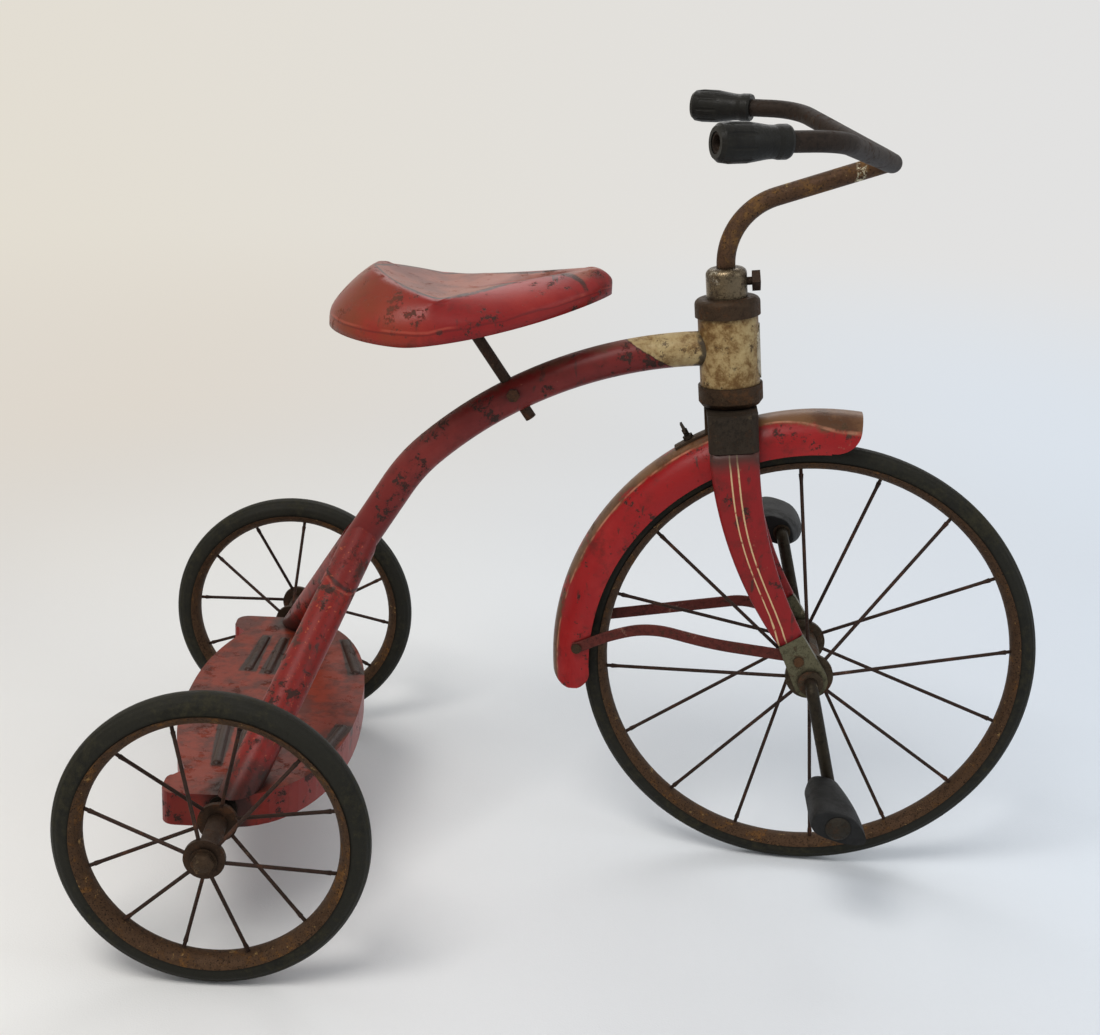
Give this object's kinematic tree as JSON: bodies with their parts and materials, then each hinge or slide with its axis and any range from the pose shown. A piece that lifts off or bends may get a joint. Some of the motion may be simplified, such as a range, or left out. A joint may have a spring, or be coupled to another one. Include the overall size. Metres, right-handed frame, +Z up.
{
  "type": "children's tricycle",
  "caption": "Child's front-drive tricycle: big spoked front wheel with cranks, curved tube frame, rear step between small spoked wheels, pressed saddle.",
  "frame": {"origin": "on the ground, under the middle of the machine's length and width", "axes": "+X forwards, +Y to the rider's left, +Z up; steering turned 5 degrees to the rider's right at rest"},
  "size_m": [0.8302, 0.5838, 0.6919],
  "materials": {
    "frame_red": "faded brick-red enamel with brown worn patches",
    "head_cream": "cream enamel with rust stains",
    "bare_plate": "dull bare plate",
    "dark_iron": "dark brown rusted steel",
    "grey_steel": "olive-grey bare steel",
    "worn_chrome": "worn chrome with brown patches",
    "bar_brown": "rust-brown plated tube",
    "black_rubber": "dusty black rubber",
    "tyre_rubber": "dusty black solid rubber",
    "rim_rust": "rusted rolled rim"
  },
  "bodies": {
    "frame": {"head_tube": "head_cream", "head_plate": "bare_plate", "upper_cup": "dark_iron", "lower_cup": "dark_iron", "backbone_tube": "frame_red", "rear_fork_tube": "frame_red", "step": "frame_red", "rear_axle": "grey_steel", "axle_brackets": "dark_iron", "axle_spacers": "grey_steel", "axle_nuts": "dark_iron", "seat_set_bolt": "dark_iron"},
    "seat": {"seat_post": "dark_iron", "seat_bracket": "dark_iron", "seat_pan": "frame_red", "seat_bolts": "dark_iron"},
    "fork": {"steerer_tube": "grey_steel", "fork_crown": "grey_steel", "fork_blade_right": "frame_red", "fork_blade_left": "frame_red", "fork_end_right": "grey_steel", "fork_end_left": "grey_steel", "lower_race": "dark_iron", "lower_balls": "grey_steel", "upper_balls": "grey_steel", "upper_cone": "dark_iron", "head_cap": "dark_iron", "stem_collar": "worn_chrome", "collar_bolt": "dark_iron", "axle_bushes": "dark_iron", "fender": "frame_red", "fender_bracket": "grey_steel", "wing_bolt": "dark_iron", "fender_stay_right": "frame_red", "fender_stay_left": "frame_red", "stay_rivets": "dark_iron"},
    "handlebar": {"stem": "bar_brown", "handlebar": "bar_brown", "grip_right": "black_rubber", "grip_left": "black_rubber"},
    "front_wheel": {"crankshaft": "dark_iron", "front_hub": "dark_iron", "front_spokes": "dark_iron", "front_rim": "rim_rust", "front_tyre": "tyre_rubber", "pedal_caps": "dark_iron"},
    "pedal_right": {"pedal_rubber_right": "black_rubber", "pedal_sleeve_right": "grey_steel"},
    "pedal_left": {"pedal_rubber_left": "black_rubber", "pedal_sleeve_left": "grey_steel"},
    "rear_wheel_right": {"rear_hub_right": "dark_iron", "rear_spokes_right": "dark_iron", "rear_rim_right": "rim_rust", "rear_tyre_right": "tyre_rubber"},
    "rear_wheel_left": {"rear_hub_left": "dark_iron", "rear_spokes_left": "dark_iron", "rear_rim_left": "rim_rust", "rear_tyre_left": "tyre_rubber"}
  },
  "joints": [
    {"name": "seat_height", "type": "slide", "parent": "frame", "child": "seat", "axis": [-0.581, 0, 0.8139], "range_m": [-0.008, 0.012]},
    {"name": "steering", "type": "hinge", "parent": "frame", "child": "fork", "pos_m": [0.11988, 0, 0.482], "axis": [-0.1219, 0, 0.9925], "range_deg": [-55, 65]},
    {"name": "handlebar_height", "type": "slide", "parent": "fork", "child": "handlebar", "axis": [-0.1219, 0, 0.9925], "range_m": [0, 0.03]},
    {"name": "front_wheel_spin", "type": "hinge", "parent": "fork", "child": "front_wheel", "pos_m": [0.21266, -0.00508, 0.20317], "axis": [0.0865, 0.9962, 0.0106], "continuous": true},
    {"name": "pedal_right_spin", "type": "hinge", "parent": "front_wheel", "child": "pedal_right", "pos_m": [0.23719, -0.00624, 0.1114], "axis": [0.0865, 0.9962, 0.0106], "continuous": true},
    {"name": "pedal_left_spin", "type": "hinge", "parent": "front_wheel", "child": "pedal_left", "pos_m": [0.18812, -0.00393, 0.29494], "axis": [0.0865, 0.9962, 0.0106], "continuous": true},
    {"name": "rear_wheel_right_spin", "type": "hinge", "parent": "frame", "child": "rear_wheel_right", "pos_m": [-0.28812, 0, 0.127], "axis": [0, 1, 0], "continuous": true},
    {"name": "rear_wheel_left_spin", "type": "hinge", "parent": "frame", "child": "rear_wheel_left", "pos_m": [-0.28812, 0, 0.127], "axis": [0, 1, 0], "continuous": true}
  ]
}
